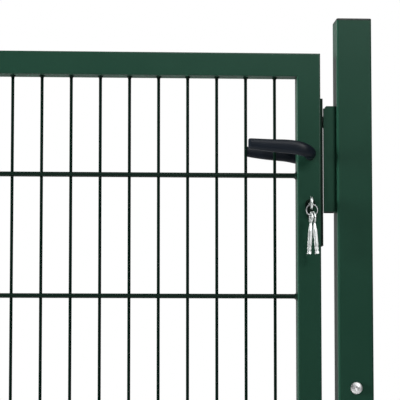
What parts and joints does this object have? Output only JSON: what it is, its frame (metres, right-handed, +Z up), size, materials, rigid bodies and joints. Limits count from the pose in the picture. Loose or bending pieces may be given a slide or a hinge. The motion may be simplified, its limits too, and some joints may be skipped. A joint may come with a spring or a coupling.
{
  "type": "mesh garden gate with posts",
  "caption": "Single-leaf gate of welded wire mesh in a square-tube frame, hung between two posts, with a lock, lever pair, keys and strike keep.",
  "frame": {"origin": "middle of the footprint between the two posts, level with their feet, 0.39 m below ground level", "axes": "+Z up along the posts, +X from the hinge post to the latch post, -Y the front, towards which the leaf opens"},
  "size_m": [1.05, 0.136, 1.75],
  "materials": {
    "powder_coat": "fine-textured satin powder coat, moss green",
    "lever_nylon": "satin black moulded nylon",
    "black_plastic": "matt black moulded plastic",
    "nickel_plate": "bright nickel plate",
    "stainless_steel": "polished stainless steel",
    "dark_steel": "dark burnished steel",
    "spring_steel": "oiled spring steel",
    "zinc_plate": "bright zinc plate"
  },
  "bodies": {
    "posts": {"hinge_post": "powder_coat", "latch_post": "powder_coat", "hinge_post_cap": "black_plastic", "latch_post_cap": "black_plastic", "strike_keep": "powder_coat", "hinge_post_panel_bolt_upper": "stainless_steel", "hinge_post_panel_bolt_lower": "stainless_steel", "hinge_post_panel_nut_upper": "zinc_plate", "hinge_post_panel_nut_lower": "zinc_plate", "latch_post_panel_bolt_upper": "stainless_steel", "latch_post_panel_bolt_lower": "stainless_steel", "latch_post_panel_nut_upper": "zinc_plate", "latch_post_panel_nut_lower": "zinc_plate", "hinge_bracket_upper": "powder_coat", "hinge_bracket_lower": "powder_coat", "hinge_pin_upper": "zinc_plate", "hinge_pin_lower": "zinc_plate", "hinge_pin_nut_upper": "zinc_plate", "hinge_pin_nut_lower": "zinc_plate"},
    "leaf": {"top_rail": "powder_coat", "bottom_rail": "powder_coat", "hinge_stile": "powder_coat", "latch_stile": "powder_coat", "mesh_panel": "powder_coat", "eye_bolt_upper": "zinc_plate", "eye_bolt_lower": "zinc_plate", "outer_nut_upper": "zinc_plate", "outer_nut_lower": "zinc_plate", "outer_washer_upper": "zinc_plate", "outer_washer_lower": "zinc_plate", "inner_washer_upper": "zinc_plate", "inner_washer_lower": "zinc_plate", "inner_nut_upper": "zinc_plate", "inner_nut_lower": "zinc_plate", "lock_case": "zinc_plate", "lock_case_cover": "zinc_plate", "forend": "dark_steel", "forend_screw_upper": "zinc_plate", "forend_screw_lower": "zinc_plate", "cylinder_body": "dark_steel", "rear_cylinder_plug": "dark_steel", "cylinder_screw": "zinc_plate", "front_lever_bush": "black_plastic", "rear_lever_bush": "black_plastic", "return_spring": "spring_steel"},
    "lever_set": {"spindle": "zinc_plate", "follower": "zinc_plate", "front_lever": "lever_nylon", "rear_lever": "lever_nylon", "front_lever_grub_screw": "dark_steel", "rear_lever_grub_screw": "dark_steel"},
    "latch_slider": {"latch_bolt": "nickel_plate"},
    "deadbolt_slider": {"deadbolt": "nickel_plate"},
    "key_set": {"key_in_lock": "nickel_plate", "front_cylinder_plug": "dark_steel", "cylinder_cam": "dark_steel"},
    "ring_set": {"key_ring": "zinc_plate"},
    "spare_key_left": {"spare_key_a": "nickel_plate"},
    "spare_key_right": {"spare_key_b": "nickel_plate"}
  },
  "joints": [
    {"name": "leaf_swing", "type": "hinge", "parent": "posts", "child": "leaf", "pos_m": [-0.441, 0, 1.065], "axis": [0, 0, -1], "range_deg": [0, 95]},
    {"name": "lever_turn", "type": "hinge", "parent": "leaf", "child": "lever_set", "pos_m": [0.4185, 0, 1.514], "axis": [0, -1, 0], "range_deg": [0, 35], "stiffness_Nm_per_rad": 1, "springref_deg": -28.65},
    {"name": "latch_slide", "type": "slide", "parent": "leaf", "child": "latch_slider", "axis": [-1, 0, 0], "range_m": [0, 0.011]},
    {"name": "key_turn", "type": "hinge", "parent": "leaf", "child": "key_set", "pos_m": [0.4185, 0, 1.429], "axis": [0, 1, 0], "range_deg": [0, 90]},
    {"name": "deadbolt_slide", "type": "slide", "parent": "leaf", "child": "deadbolt_slider", "axis": [1, 0, 0], "range_m": [0, 0.015]},
    {"name": "ring_swing", "type": "hinge", "parent": "key_set", "child": "ring_set", "pos_m": [0.4185, -0.048, 1.4262], "axis": [-1, 0, 0], "range_deg": [-12, 40]},
    {"name": "spare_key_left_hang", "type": "hinge", "parent": "ring_set", "child": "spare_key_left", "pos_m": [0.4185, -0.048, 1.4166], "axis": [0, 1, 0], "range_deg": [-90, 0]},
    {"name": "spare_key_right_hang", "type": "hinge", "parent": "ring_set", "child": "spare_key_right", "pos_m": [0.4185, -0.048, 1.4166], "axis": [0, 1, 0], "range_deg": [-90, 0]}
  ],
  "couplings": [
    {"joint": "latch_slide", "follows": "lever_turn", "m_per_rad": 0.018},
    {"joint": "key_turn", "follows": "deadbolt_slide", "rad_per_m": 104.72},
    {"joint": "spare_key_left_hang", "follows": "deadbolt_slide", "rad_per_m": -104.72},
    {"joint": "spare_key_right_hang", "follows": "deadbolt_slide", "rad_per_m": -104.72}
  ]
}
